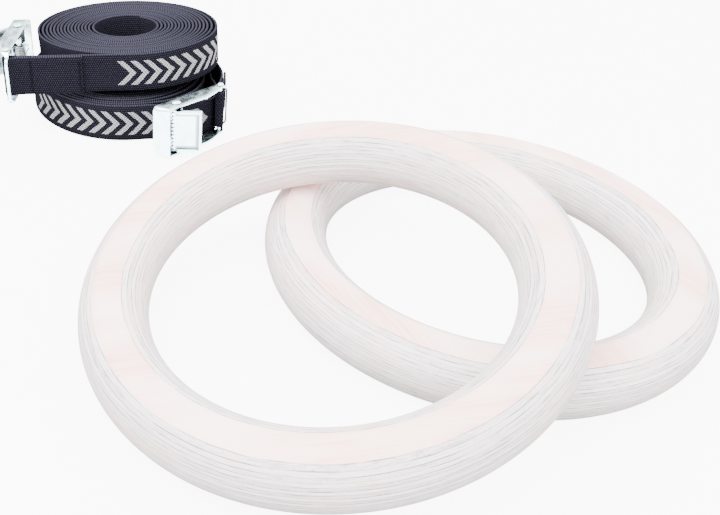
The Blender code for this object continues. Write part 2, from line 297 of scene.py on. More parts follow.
def webbing(name, marks):
    """Black polyester webbing: columns of warp yarn crossed by weft ribs, with a pale woven band."""
    n = Net(name)
    along, across, _ = n.split(n.place("UV"))
    column = n.math("DIVIDE", across, YARN_PITCH)
    number = n.math("FLOOR", column)
    yarn = n.math("SINE", n.math("MULTIPLY", n.math("FRACT", column), math.pi))
    phase = n.math("MULTIPLY", n.math("ADD", n.math("DIVIDE", along, RIB_PITCH),
                                      n.math("MULTIPLY", number, 0.5)), 2 * math.pi)
    over = n.math("ADD", n.math("MULTIPLY", n.math("SINE", phase), 0.5), 0.5)
    height = n.math("MULTIPLY", n.math("SQRT", yarn), n.math("ADD", n.math("MULTIPLY", over, 0.7), 0.3))
    fuzz = n.noise(n.stretch(n.place("UV"), (900, 900, 1)), detail=3, roughness=0.7)
    wear = n.noise(n.stretch(n.place("UV"), (30, 60, 1)), detail=3)

    # Painted highlight and painted shade: the yarn crowns are painted lighter, as sheen, and the gaps
    # between yarns darker; the fuzz noise adds real unevenness
    shade = n.math("MULTIPLY", n.ramp(height, 0.15, 1.0), n.ramp(fuzz, 0.30, 0.70, 0.45, 1.0))
    colour = n.mix(shade, rgb(0.0012, 0.0011, 0.0020), rgb(0.0300, 0.0286, 0.0425))
    colour = n.mix(n.ramp(wear, 0.45, 0.75, 0.0, 0.25), colour, rgb(0.0130, 0.0125, 0.0190))
    # Painted highlight: a thin pale line along the crest of each selvedge
    selvedge_highlight = n.ramp(n.math("ABSOLUTE", n.math("SUBTRACT", across, WEB_WIDTH / 2)),
                 WEB_WIDTH / 2 - 0.55 * MM, WEB_WIDTH / 2 - 0.04 * MM)
    selvedge_highlight = n.math("MULTIPLY", selvedge_highlight, n.ramp(over, 0.1, 0.9, 0.25, 1.0))
    colour = n.mix(selvedge_highlight, colour, rgb(0.0300, 0.0290, 0.0400))

    rise = n.math("ABSOLUTE", n.math("SUBTRACT", across, (MARK_LOW + MARK_HIGH) / 2))
    shown = 0.0
    for start, end in marks:
        run = n.math("DIVIDE", n.math("ADD", n.math("SUBTRACT", along, start), rise), MARK_PITCH)
        inside = n.math("MULTIPLY", n.math("GREATER_THAN", run, 1.0),
                        n.math("LESS_THAN", run, round((end - start) / MARK_PITCH) + 1.0))
        drawn = n.math("MULTIPLY", n.math("LESS_THAN", n.math("FRACT", run), 0.48),
                       n.math("LESS_THAN", rise, (MARK_HIGH - MARK_LOW) / 2))
        shown = n.math("MAXIMUM", shown, n.math("MULTIPLY", drawn, inside))
    stitch = n.math("FRACT", n.math("ADD", n.math("DIVIDE", along, MARK_STITCH),
                                    n.math("PINGPONG", column, 1.0)))
    pale = n.mix(n.math("MULTIPLY", n.ramp(stitch, 0.10, 0.42), n.ramp(stitch, 1.0, 0.80)),
                 rgb(0.012, 0.0115, 0.015), rgb(0.420, 0.410, 0.425))
    pale = n.mix(n.ramp(fuzz, 0.35, 0.65, 0.3, 0.0), pale, rgb(0.110, 0.107, 0.114))
    colour = n.mix(shown, colour, pale)
    # Painted shade: the webbing is darkened toward near black where ambient occlusion finds it closed in,
    # between turns and between the rolls
    painted_shade_ao = n.node("ShaderNodeAmbientOcclusion", {"Distance": 16 * MM}, samples=8).outputs["AO"]
    colour = n.mix(n.ramp(painted_shade_ao, 0.12, 0.66, 0.80, 0.0), colour, rgb(0.0008, 0.0008, 0.0014))
    normal = n.bump(height, 0.22 * MM)
    normal = n.bump(fuzz, 0.05 * MM, under=normal)
    return n.finish(colour, n.ramp(fuzz, 0.3, 0.7, 0.72, 0.9), normal,
                    Specular_IOR_Level=0.004)


def sewing_thread(name):
    """Twisted black thread."""
    n = Net(name)
    place = n.place("UV")
    along, around, _ = n.split(place)
    twist = n.math("FRACT", n.math("ADD", n.math("DIVIDE", along, 0.55 * MM), around))
    height = n.math("SINE", n.math("MULTIPLY", twist, math.pi))
    # Painted highlight and painted shade: the ridges of the twist are painted lighter and its grooves
    # darker
    colour = n.mix(height, rgb(0.0012, 0.0012, 0.0018), rgb(0.0090, 0.0088, 0.0125))
    return n.finish(colour, 0.55, n.bump(height, 0.06 * MM), Specular_IOR_Level=0.01)


def zinc(name, seed, axes, base=(0.74, 0.93, 0.96), rough=0.22, upright_brightness=1.0, plate=False):
    """Bright zinc plating, a little cloudy, with fine rolling marks and scuffs.

    Given a share of brightness below one, the faces square to the buckle's width, facing up or down, keep
    only that share, in mottled patches: painted shade for their darker reflection. On the lever's plate a
    grey band is painted inside the raised rim: painted shade for the darker reflection there.
    """
    n = Net(name)
    place = n.local(axes)
    cloud = n.noise(n.stretch(place, (130, 210, 130), (seed, 0, 0)), detail=4, roughness=0.6)
    fine = n.noise(n.stretch(place, (2600, 500, 500), (seed, 2, 0)), detail=3)
    scuff = n.noise(n.stretch(place, (500, 3800, 300), (seed, 7, 0)), detail=2)
    marks = n.ramp(scuff, 0.66, 0.74)
    red, green, blue = base
    colour = n.mix(n.ramp(cloud, 0.35, 0.68, 0.0, 0.45), rgb(*base),
                   rgb(red * 0.62, green * 0.68, blue * 0.70))
    # Painted shade: faces square to the buckle's width, facing up or down in the world, are dimmed in
    # mottled patches, standing in for their darker reflection
    if upright_brightness < 1.0:
        upright = n.split(n.node("ShaderNodeNewGeometry").outputs["Normal"])[2]
        blotch = n.ramp(cloud, 0.36, 0.62, upright_brightness * 0.62, upright_brightness * 1.25)
        upright_shade = n.mix(1.0, n.join(blotch, blotch, blotch), rgb(red * 0.94, green * 0.98, blue),
                     blend="MULTIPLY")
        colour = n.mix(n.ramp(n.math("ABSOLUTE", upright), 0.80, 0.97), colour, upright_shade)
    # Painted shade: a grey band inside the raised rim of the lever's recess, standing in for the darker
    # reflection of the rim's slope
    if plate:
        reach, under, across = n.split(place)
        off_middle = n.math("ABSOLUTE", n.math("SUBTRACT", across, LEVER_WIDTH / 2))
        to_side = n.math("SUBTRACT", LEVER_WIDTH / 2 - LEVER_RIM, off_middle)
        to_tip = n.math("SUBTRACT", TIP_U - LEVER_RIM, reach)
        near = n.ramp(n.math("MINIMUM", to_side, to_tip), 1.4 * MM, 3.0 * MM, 0.90, 0.0)
        sunk = n.math("MULTIPLY", n.math("GREATER_THAN", under, -PLATE_TOP - 0.3 * MM),
                      n.math("GREATER_THAN", reach, TOOTH_U + TOOTH_LIP))
        colour = n.mix(n.math("MULTIPLY", near, sunk), colour, rgb(0.15, 0.20, 0.21))
    colour = n.mix(n.math("MULTIPLY", marks, 0.35), colour, rgb(0.42, 0.44, 0.46))
    # Painted shade: the zinc is darkened where ambient occlusion finds it closed in, round the lever, the
    # bridge and the pins
    painted_shade_ao = n.node("ShaderNodeAmbientOcclusion", {"Distance": 3.5 * MM}, samples=8).outputs["AO"]
    colour = n.mix(n.ramp(painted_shade_ao, 0.25, 0.92), rgb(0.07, 0.09, 0.10), colour)
    roughness = n.math("ADD", n.ramp(cloud, 0.3, 0.7, rough - 0.07, rough + 0.12),
                       n.math("MULTIPLY", marks, 0.15))
    normal = n.bump(cloud, 0.035 * MM)
    normal = n.bump(fine, 0.003 * MM, under=normal)
    return n.finish(colour, roughness, normal, Metallic=1.0)


# Mesh helpers

def ease(share):
    """A smooth step from 0 to 1."""
    return share * share * (3 - 2 * share)


def make_object(name, mesh, spec, angle=40.0):
    """An object with one material, smooth up to a sharp angle in degrees."""
    mesh.shade_smooth()
    mesh.set_sharp_from_angle(angle=math.radians(angle))
    made = bpy.data.objects.new(name, mesh)
    mesh.materials.clear()
    mesh.materials.append(spec)
    bpy.context.collection.objects.link(made)
    return made


def turn_out(mesh):
    """Turns every face outwards."""
    shape = bmesh.new()
    shape.from_mesh(mesh)
    bmesh.ops.recalc_face_normals(shape, faces=shape.faces)
    shape.to_mesh(mesh)
    shape.free()


def skin(name, rows, spec, closed=False, uv=None, angle=40.0):
    """A surface through rows of points, each a loop. The rows close too, or their ends are capped."""
    rows = np.asarray(rows, float)
    count, width = rows.shape[:2]
    i, k = np.meshgrid(np.arange(count if closed else count - 1), np.arange(width), indexing="ij")
    j, m = (i + 1) % count, (k + 1) % width
    corners = [i * width + k, j * width + k, j * width + m, i * width + m]
    faces = np.stack(corners, -1).reshape(-1, 4).tolist()
    if not closed:
        faces += [list(range(width)), list(range((count - 1) * width, count * width))]
    mesh = bpy.data.meshes.new(name)
    mesh.from_pydata(rows.reshape(-1, 3).tolist(), [], faces)
    turn_out(mesh)
    if uv is not None:
        corner = np.zeros(len(mesh.loops), np.int32)
        mesh.loops.foreach_get("vertex_index", corner)
        layer = mesh.uv_layers.new(name="metres")
        layer.data.foreach_set("uv", np.asarray(uv, np.float32).reshape(-1, 2)[corner].ravel())
    return make_object(name, mesh, spec, angle)


def prism(name, outline, low, high, spec):
    """An outline in X and Y, extruded from one height to another."""
    count = len(outline)
    verts = [(x, y, z) for z in (low, high) for x, y in outline]
    faces = [tuple(range(count)), tuple(range(count, 2 * count))]
    faces += [(k, (k + 1) % count, count + (k + 1) % count, count + k) for k in range(count)]
    mesh = bpy.data.meshes.new(name)
    mesh.from_pydata(verts, [], faces)
    turn_out(mesh)
    return make_object(name, mesh, spec)


def arc(centre_x, centre_y, radius, start, end, steps):
    """Points on an arc between two angles in degrees."""
    angles = np.radians(np.linspace(start, end, steps + 1))
    return [(centre_x + radius * math.cos(a), centre_y + radius * math.sin(a)) for a in angles]


def lathe(name, profile, spec, steps=40):
    """A turned solid about Z from (radius, height) points; its ends are capped."""
    turns = np.linspace(0, 2 * math.pi, steps, endpoint=False)
    rows = [[(r * math.cos(a), r * math.sin(a), z) for a in turns] for r, z in profile]
    return skin(name, rows, spec)


def even(points, step, closed=False):
    """The same line with points a step apart."""
    points = np.asarray(points, float)
    if closed:
        points = np.vstack([points, points[:1]])
    reach = np.concatenate([[0], np.cumsum(np.linalg.norm(np.diff(points, axis=0), axis=1))])
    count = max(2, int(round(reach[-1] / step)))
    at = np.linspace(0, reach[-1], count + 1)[:-1 if closed else None]
    return np.stack([np.interp(at, reach, points[:, k]) for k in range(points.shape[1])], 1)


def soften(points, spread, closed=False):
    """A rounded copy of a line; spread is in points. Open ends stay where they are."""
    reach = int(math.ceil(spread * 3))
    weights = np.exp(-0.5 * (np.arange(-reach, reach + 1) / spread) ** 2)
    weights /= weights.sum()
    if closed:
        padded = np.vstack([points[-reach:], points, points[:reach]])
    else:
        padded = np.vstack([2 * points[0] - points[reach:0:-1], points,
                            2 * points[-1] - points[-2:-reach - 2:-1]])
    return np.stack([np.convolve(padded[:, k], weights, "valid") for k in range(points.shape[1])], 1)


def tube(name, lines, radius, spec, sides=8):
    """Round threads or wires along lines of points, as one mesh."""
    rows_all, faces, uv, start = [], [], [], 0
    turns = np.linspace(0, 2 * math.pi, sides, endpoint=False)
    for line in lines:
        line = np.asarray(line, float)
        run = np.gradient(line, axis=0)
        run /= np.linalg.norm(run, axis=1)[:, None]
        reach = np.concatenate([[0], np.cumsum(np.linalg.norm(np.diff(line, axis=0), axis=1))])
        side = np.cross(run[0], (0.31, 0.52, 0.79))
        for p, (point, ahead) in enumerate(zip(line, run)):
            side = side - ahead * (side @ ahead)
            side /= np.linalg.norm(side)
            up = np.cross(ahead, side)
            for t in turns:
                rows_all.append(point + radius * (math.cos(t) * side + math.sin(t) * up))
                uv.append((reach[p], t / (2 * math.pi)))
        for p in range(len(line) - 1):
            a = start + p * sides
            faces += [(a + k, a + sides + k, a + sides + (k + 1) % sides, a + (k + 1) % sides)
                      for k in range(sides)]
        faces += [tuple(range(start, start + sides)),
                  tuple(range(start + (len(line) - 1) * sides, start + len(line) * sides))]
        start += len(line) * sides
    mesh = bpy.data.meshes.new(name)
    mesh.from_pydata([tuple(v) for v in rows_all], [], faces)
    turn_out(mesh)
    corner = np.zeros(len(mesh.loops), np.int32)
    mesh.loops.foreach_get("vertex_index", corner)
    layer = mesh.uv_layers.new(name="metres")
    layer.data.foreach_set("uv", np.asarray(uv, np.float32)[corner].ravel())
    return make_object(name, mesh, spec)


def cut(target, cutter):
    """Takes one shape out of another."""
    step = target.modifiers.new("cut", "BOOLEAN")
    step.operation = "DIFFERENCE"
    step.solver = "EXACT"
    step.object = cutter


def settle(target, cutters=(), bevel=0.0):
    """Keeps the shape that the modifiers give, with edges eased, and removes the cutters."""
    if bevel:
        step = target.modifiers.new("ease", "BEVEL")
        step.width = bevel
        step.segments = 2
        step.limit_method = "ANGLE"
        step.angle_limit = math.radians(32)
    bpy.context.view_layer.update()
    shown = target.evaluated_get(bpy.context.evaluated_depsgraph_get())
    mesh = bpy.data.meshes.new_from_object(shown)
    target.modifiers.clear()
    target.data = mesh
    mesh.shade_smooth()
    mesh.set_sharp_from_angle(angle=math.radians(40))
    for cutter in cutters:
        bpy.data.objects.remove(cutter, do_unlink=True)
    return target


def put(piece, matrix, body, nodes):
    """Places a piece, attaches it to the body it rides on, and hides the parts it stands for."""
    piece.data.transform(matrix)
    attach(piece, body)
    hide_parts(*nodes)


# Rings

def box_middle(node):
    """The middle of a node's box in the row frame."""
    low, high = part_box(node)
    return (Vector(low) + Vector(high)) / 2


def ring_rows():
    """Loops of a ring round its own Z axis, and the radius to the middle of its tube."""
    radius = TUBE_WIDTH / 2
    top = math.degrees(math.asin(TUBE_HEIGHT / 2 / radius))
    section = even(arc(0, 0, radius, -top, top, 60) + arc(0, 0, radius, 180 - top, 180 + top, 60),
                   1.05 * MM, closed=True)
    section = soften(section, 0.9, closed=True)
    section[:, 1] *= TUBE_HEIGHT / 2 / section[:, 1].max()
    section[:, 0] *= radius / section[:, 0].max()
    low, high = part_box("rear_ring")
    middle = (high[0] - low[0]) / 2 - radius
    rows = []
    for a in np.linspace(0, 2 * math.pi, 300, endpoint=False):
        rows.append([((middle + x) * math.cos(a), (middle + x) * math.sin(a), y) for x, y in section])
    return rows, middle


def build_rings():
    """The rear ring lies flat; the front ring leans on it."""
    rows, middle = ring_rows()
    axes = Matrix.Translation(box_middle("rear_ring")) @ Matrix.Rotation(REAR_GRAIN, 4, "Z")
    rear = skin("ring_rear_birch", rows, birch("birch_rear", 0.0, axes), closed=True)
    put(rear, axes, "rear_ring_body", ["rear_ring"])

    low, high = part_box("front_ring")
    centre = box_middle("front_ring")
    heading = (box_middle("rear_ring") - centre).to_2d()
    heading = math.atan2(heading.y, heading.x)
    lean = math.asin(((high[2] - low[2]) / 2 - lean_reach(low, high, middle)) / middle)
    axes = (Matrix.Translation(centre) @ Matrix.Rotation(heading, 4, "Z")
            @ Matrix.Rotation(-lean, 4, "Y") @ Matrix.Rotation(FRONT_GRAIN, 4, "Z"))
    front = skin("ring_front_birch", rows, birch("birch_front", 41.0, axes), closed=True)
    put(front, axes, "front_ring_body", ["front_ring"])


def lean_reach(low, high, middle):
    """Half the height that the tube itself takes in a leaning ring's box."""
    guess = TUBE_WIDTH / 2
    for _ in range(8):
        lean = math.asin(((high[2] - low[2]) / 2 - guess) / middle)
        top = math.asin(TUBE_HEIGHT / TUBE_WIDTH)
        face = min(max(math.pi / 2 - lean, -top), top)
        guess = TUBE_WIDTH / 2 * math.cos(math.pi / 2 - lean - face)
    return guess


# Straps

def web_section():
    """Section of the webbing as (across, outward) points, with round selvedges."""
    r = WEB_THICKNESS / 2
    inner = np.linspace(r, WEB_WIDTH - r, 9)
    bend = np.linspace(0, math.pi, 6)[1:-1]
    points = [(v, r) for v in inner]
    points += [(WEB_WIDTH - r + r * math.sin(a), r * math.cos(a)) for a in bend]
    points += [(v, -r) for v in inner[::-1]]
    points += [(r - r * math.sin(a), -r * math.cos(a)) for a in bend]
    return np.array(points)


def round_hull(points):
    """The convex outline of a set of points, in order."""
    points = sorted(set(map(tuple, points)))
    sides = []
    for run in (points, points[::-1]):
        side = []
        for p in run:
            while len(side) > 1 and ((side[-1][0] - side[-2][0]) * (p[1] - side[-2][1])
                                     <= (side[-1][1] - side[-2][1]) * (p[0] - side[-2][0])):
                side.pop()
            side.append(p)
        sides += side[:-1]
    return np.array(sides)


def loose_turn(prefix, centre, radii):
    """How far the slack second turn stands off the roll, by angle, where it nests inside the buckle."""
    axes = buckle_axes(prefix)
    spots = [(centre, radii[0], radii[1])]
    for x, y, radius in NEST:
        spots.append(((axes @ Vector((x, y, 0))).to_2d(), radius, radius))
    ring = [(c.x + a * math.cos(t), c.y + b * math.sin(t))
            for c, a, b in spots for t in np.linspace(0, 2 * math.pi, 400, endpoint=False)]
    hull = even(round_hull(ring), 0.5 * MM, closed=True) - np.array(centre)
    angle = np.arctan2(hull[:, 1] / radii[1], hull[:, 0] / radii[0])
    order = np.argsort(angle)
    share = np.hypot(hull[:, 0] / radii[0], hull[:, 1] / radii[1])
    return lambda t: np.interp((t + math.pi) % (2 * math.pi) - math.pi, angle[order], share[order],
                               period=2 * math.pi) - 1.0


def spiral_line(prefix, spec, low, high, leave):
    """The roll's turns from the inside out, as X, Y and the number of turns from the outer end."""
    tilt = spec["tilt"]
    half = (high - low) / 2
    half.x = (half.x - CAD_WEB_WIDTH / 2 * math.sin(tilt)) / math.cos(tilt)
    centre = ((low + high) / 2).to_2d()
    out = [half.x + GAP + CAD_WEB_THICKNESS / 2, half.y + GAP + CAD_WEB_THICKNESS / 2]
    hole = [side + WEB_THICKNESS / 2 for side in spec["hole"]]
    reach = leave - centre
    first = math.atan2(reach.y / out[1], reach.x / out[0])
    turns = spec["turns"]
    n = np.linspace(0, turns, int(turns * 220))
    # The air between turns: most at the outside, some round the hole, uneven in between.
    slack = (0.30 + 1.6 * np.exp(-n / 1.7) + 0.9 * np.exp(-((turns - n - 1.2) / 0.5) ** 2)
             + 0.28 * (1 + np.sin(3.7 * n + 1.0)) + 0.18 * (1 + np.sin(6.1 * n)))
    tightest = WEB_THICKNESS + 0.04 * MM
    room = out[0] - hole[0] - turns * tightest
    wide = np.cumsum(tightest + room * slack / slack.mean() / turns)
    wide = (wide - wide[0]) / (wide[-1] - wide[0])
    share = n / turns
    angle = first + 2 * math.pi * n
    a = out[0] + (hole[0] - out[0]) * wide
    b = out[1] + (hole[1] - out[1]) * share
    if spec["bulge"]:
        stand = loose_turn(prefix, centre, out)(angle)
        near = np.clip(stand / 0.06, 0, 1) * np.interp(n, [0.3, 0.6, 1.05, 1.3, 2.3, 3.3],
                                                       [0.0, 1.0, 1.0, 0.30, 0.12, 0.0])
        a = a + near * (out[0] * (1 + stand) - a)
        b = b + near * (out[1] * (1 + stand) - b)
    return np.stack([centre.x + a * np.cos(angle), centre.y + b * np.sin(angle), n], 1)[::-1]


def strap_line(prefix, spec):
    """The middle line of a strap from its inner end to its sewn end, and what else its pieces need.

    The line's columns are X, Y, height of the lower edge, share of full thickness, distance into the
    roll from where the tail leaves it, and share by which a tilted roll's strap is level again.
    """
    low, high = (Vector(p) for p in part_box(prefix + "_strap_roll"))
    leave = joint_at[prefix + "_tail_bend"].to_2d()
    bar = joint_at[prefix + "_buckle_turn"].to_2d()
    spiral = spiral_line(prefix, spec, low, high, leave)
    run = bar - leave
    length = run.length
    run.normalize()
    left = Vector((-run.y, run.x))
    lane = CAD_WEB_THICKNESS / 2 + 0.01 * MM

    def bow(x):
        return spec["bulge"] * math.sin(math.pi * min(1.0, max(0.0, x / length)) ** 0.8) ** 2

    tail = [(x, bow(x) - lane) for x in np.linspace(4 * MM, length - 7 * MM, 30)]
    tail += arc(length, 0, STRAP_BAR_RADIUS + GAP + WEB_THICKNESS / 2, -118, 118, 24)
    tail += [(x, bow(x) + lane) for x in np.linspace(length - 7 * MM, length - spec["sewn"], 20)]
    tail = [(*(leave + run * x + left * y), 0.0) for x, y in tail]
    line = even(np.vstack([spiral[:-6], tail]), 0.45 * MM)
    line[:, :2] = soften(line[:, :2], 2.2)
    step = np.linalg.norm(np.diff(line[:, :2], axis=0), axis=1)
    walked = np.concatenate([[0], np.cumsum(step)])
    passed = (line[:, 0] - leave.x) * run.x + (line[:, 1] - leave.y) * run.y
    near = np.where((line[:, 2] < 0.2) & (passed > 0))[0][0]
    into = walked[near] - walked

    n = line[:, 2]
    wobble = 0.2 * MM * (1 + 0.55 * np.sin(2.1 * n) + 0.40 * np.sin(3.7 * n + 1.0))
    climb = ease(np.clip((spec["rise"] - into) / (spec["rise"] + length - 6 * MM), 0, 1))
    eye_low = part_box(prefix + "_strap_end")[0][2]
    end_level = eye_low if not spec["tilt"] else low.z
    base = low.z + wobble * (1 - climb) + (end_level - low.z) * climb
    level = ease(np.clip((30 * MM - into) / (50 * MM), 0, 1))
    thick = np.ones(len(line))
    for tack in spec["tacks"]:
        pinch = np.exp(-((passed - (length - tack)) / (0.9 * MM)) ** 2)
        thick -= 0.22 * np.where(into < 0, pinch, 0)
    return dict(line=np.stack([line[:, 0], line[:, 1], base, thick, into, level], 1),
                tilt=spec["tilt"], pivot=(low.x, low.z), eye_low=eye_low, leave=leave, run=run,
                left=left, length=length, bow=bow)


def ribbon(name, line, strap, spec):
    """Webbing along a stretch of a strap's line, with UVs in metres."""
    section = web_section()
    run = np.gradient(line[:, :2], axis=0)
    run /= np.linalg.norm(run, axis=1)[:, None]
    out = np.stack([-run[:, 1], run[:, 0]], 1)
    across, offset = section[:, 0], section[:, 1]
    push = line[:, 3][:, None] * offset[None, :]
    x = line[:, 0][:, None] + out[:, 0][:, None] * push
    y = line[:, 1][:, None] + out[:, 1][:, None] * push
    z = line[:, 2][:, None] + across[None, :]
    if strap["tilt"]:
        level = line[:, 5][:, None]
        turn, (edge, foot) = strap["tilt"], strap["pivot"]
        leaned_x = edge + (x - edge) * math.cos(turn) - (z - foot) * math.sin(turn)
        leaned_z = foot + (x - edge) * math.sin(turn) + (z - foot) * math.cos(turn)
        x = leaned_x + (x - leaned_x) * level
        z = leaned_z + (strap["eye_low"] + across[None, :] - leaned_z) * level
    uv = np.stack(np.broadcast_arrays(line[:, 4][:, None], across[None, :]), -1)
    return skin(name, np.stack([x, y, z], -1), spec, uv=uv, angle=60)


def thinned(line):
    """The same line with points close together on the tail and the last bend, and fewer on the roll."""
    keep = [0]
    gone = 0.0
    for k in range(1, len(line)):
        gone += float(np.linalg.norm(line[k, :2] - line[k - 1, :2]))
        if gone >= (ROLL_STEP if line[k, 4] > 12 * MM else TAIL_STEP) or k == len(line) - 1:
            keep.append(k)
            gone = 0.0
    return line[keep]


def bartack(name, place, strap, height, spec):
    """A row of tight zigzag stitches across the strap, on both faces of the doubled tail."""
    leave, run, left = strap["leave"], strap["run"], strap["left"]
    lines = []
    level = CAD_WEB_THICKNESS + 0.02 * MM
    reach = height[1] - height[0] - 2 * TACK_MARGIN
    for face in (1, -1):
        points = []
        for k in range(TACK_STITCHES + 1):
            z = height[0] + TACK_MARGIN + reach * k / TACK_STITCHES
            side = TACK_HALF_WIDTH * (1 if k % 2 else -1)
            points.append((side, level - 0.30 * MM, z))
            if k < TACK_STITCHES:
                points.append((0.0, level + 0.12 * MM, z + reach / TACK_STITCHES / 2))
        line = soften(even(np.array(points), 0.22 * MM), 0.8)
        world = [(*(leave + run * (place + x) + left * (strap["bow"](place + x) + face * y)), z)
                 for x, y, z in line]
        lines.append(world)
    return tube(name, lines, THREAD_RADIUS, spec, sides=6)


def build_strap(prefix):
    """One strap: its roll, its tail round the strap bar, and the two seams that hold the eye."""
    spec = STRAPS[prefix]
    strap = strap_line(prefix, spec)
    line, leave, run, length = (strap[key] for key in ("line", "leave", "run", "length"))
    cloth = webbing(prefix + "_webbing", spec["marks"])
    join = int(np.argmin(np.abs(line[:, 4] - 10 * MM)))

    coil = ribbon(prefix + "_web_roll", thinned(line[:join + 1]), strap, cloth)
    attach(coil, prefix + "_strap")
    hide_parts(prefix + "_strap_roll")

    tail = ribbon(prefix + "_web_tail", thinned(line[join:]), strap, cloth)
    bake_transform(tail)
    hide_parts(prefix + "_strap_end")

    thread = sewing_thread(prefix + "_thread")
    low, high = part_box(prefix + "_strap_end")
    for name, tack in zip(("outer", "inner"), spec["tacks"]):
        sewn = bartack(f"{prefix}_stitches_{name}", length - tack, strap, (low[2], high[2]), thread)
        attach(sewn, prefix + "_tail")
        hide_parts(f"{prefix}_bartack_{name}")


# Buckles

def sheet_top(x):
    """How deep the sheet stands above the base plane at a distance x from the strap bar."""
    if x < -1.5 * MM:
        share = min(1.0, max(0.0, (x + 5.2 * MM) / (3.7 * MM)))
        return RIM_DEPTH + (NECK_DEPTH - RIM_DEPTH) * ease(share)
    share = min(1.0, max(0.0, (x - 1.0 * MM) / (18 * MM)))
    return NECK_DEPTH + (CHEEK_DEPTH - NECK_DEPTH) * math.sin(share * math.pi / 2)


def frame_rows():
    """Loops of the bent sheet, once round: rim, far cheek, bridge, near cheek."""
    half, rim_half = BUCKLE_WIDTH / 2 - SHEET / 2, RIM_WIDTH / 2 - SHEET / 2
    side = [(RIM_X, 0.0), (RIM_X, rim_half - RIM_CORNER)]
    side += arc(RIM_X + RIM_CORNER, rim_half - RIM_CORNER, RIM_CORNER, 180, 90, 10)
    side += [(-4.6 * MM, rim_half), (-2.2 * MM, half), (BRIDGE_X - BRIDGE_CORNER, half)]
    side += arc(BRIDGE_X - BRIDGE_CORNER, half - BRIDGE_CORNER, BRIDGE_CORNER, 90, 0, 10)
    side += [(BRIDGE_X, 0.0)]
    path = even(side + [(x, -z) for x, z in reversed(side[1:-1])], 0.5 * MM, closed=True)
    path = soften(path, 1.6, closed=True)
    path[:, 0] = np.where(path[:, 0] < 0, path[:, 0] * RIM_X / path[:, 0].min(), path[:, 0])
    rows = []
    for k, (x, z) in enumerate(path):
        ahead, behind = path[(k + 1) % len(path)], path[k - 1]
        run = (ahead - behind) / np.linalg.norm(ahead - behind)
        out = np.array((-run[1], run[0]))
        top = sheet_top(x)
        on_bridge = max(0.0, min(1.0, (x - (BRIDGE_X - 5 * MM)) / (5 * MM)))
        row = []
        for offset, height in rounded_box(SHEET, top, SHEET_CORNER):
            lean = BRIDGE_LEAN * on_bridge * (height / top) ** 1.6
            row.append((x + offset * out[0] - lean, BASE_Y + height, z + offset * out[1]))
        rows.append(row)
    return rows


def rounded_box(width, height, radius):
    """A rectangle from 0 to height with eased corners, as (offset, height) points."""
    half = width / 2
    points = []
    for x, y, start in ((half - radius, radius, -90), (half - radius, height - radius, 0),
                        (-half + radius, height - radius, 90), (-half + radius, radius, 180)):
        points += arc(x, y, radius, start, start + 90, 3)
        if start in (0, 180):
            continue
        span = height - 2 * radius
        sign = 1 if start == -90 else -1
        for t in (0.25, 0.5, 0.75):
            points.append((sign * half, radius + span * (t if sign > 0 else 1 - t)))
    return points


def lever_outline():
    """Section of the lever: a thumb plate with a raised tip, and the barrel round the pin."""
    return ([(TIP_U, RIM_TOP), (TOOTH_U + LIP_TO_RIM, RIM_TOP), (TOOTH_U + TOOTH_LIP, PLATE_TOP),
             (TOOTH_U, PLATE_TOP), (TOOTH_U, BARREL_RADIUS), (-2.8 * MM, BARREL_RADIUS)]
            + arc(0, 0, BARREL_RADIUS, 130, 410, 36)
            + [(3.4 * MM, BARREL_RADIUS), (TIP_U, BARREL_RADIUS)])


def block(low, high):
    """A box to cut with."""
    (x0, y0, z0), (x1, y1, z1) = low, high
    return prism("cutter", [(x0, y0), (x1, y0), (x1, y1), (x0, y1)], z0, z1, None)


def build_lever(name, spec):
    """The lever in its own frame, with its recess, its teeth and the room for the spring."""
    lever = prism(name, [(u, -w) for u, w in lever_outline()], 0.0, LEVER_WIDTH, spec)
    middle = LEVER_WIDTH / 2
    bore = arc(0, 0, LEVER_PIN_RADIUS + GAP, 0, 345, 23)
    cutters = [
        prism("cutter", bore, -5 * MM, LEVER_WIDTH + 5 * MM, None),
        block((-6 * MM, -BARREL_RADIUS + 0.2 * MM, middle - SPRING_ROOM / 2),
              (6 * MM, 6 * MM, middle + SPRING_ROOM / 2)),
        block((TOOTH_U - MM, -9 * MM, LEVER_RIM),
              (TIP_U - LEVER_RIM, -PLATE_TOP, LEVER_WIDTH - LEVER_RIM)),
    ]
    count = int(LEVER_WIDTH / TOOTH_PITCH)
    notch = TOOTH_PITCH * 0.62
    verts, faces = [], []
    for k in range(count):
        z = (k + 0.5) * LEVER_WIDTH / count
        for w in (BARREL_RADIUS - MM, PLATE_TOP + MM):
            verts += [(TOOTH_U - MM, -w, z - notch), (TOOTH_U + TOOTH_DEPTH, -w, z),
                      (TOOTH_U - MM, -w, z + notch)]
        b = 6 * k
        faces += [(b, b + 1, b + 2), (b + 3, b + 5, b + 4), (b, b + 3, b + 4, b + 1),
                  (b + 1, b + 4, b + 5, b + 2), (b + 2, b + 5, b + 3, b)]
    mesh = bpy.data.meshes.new("cutter")
    mesh.from_pydata(verts, [], faces)
    turn_out(mesh)
    cutters.append(make_object("cutter", mesh, None))
    for cutter in cutters:
        cut(lever, cutter)
    return settle(lever, cutters, bevel=0.22 * MM)


def pin_profile(radius, head, width):
    """A pin with a domed head at each end, as (radius, height) points."""
    dome = [(head, 0.0), (head, 0.30), (head * 0.96, 0.50), (head * 0.86, 0.70), (head * 0.66, 0.87),
            (head * 0.38, 0.97), (head * 0.10, 1.0)]
    bottom = [(r, -GAP - HEAD_HEIGHT * t) for r, t in reversed(dome)]
    top = [(r, width + GAP + HEAD_HEIGHT * t) for r, t in dome]
    return bottom + [(radius, -GAP), (radius, width + GAP)] + top


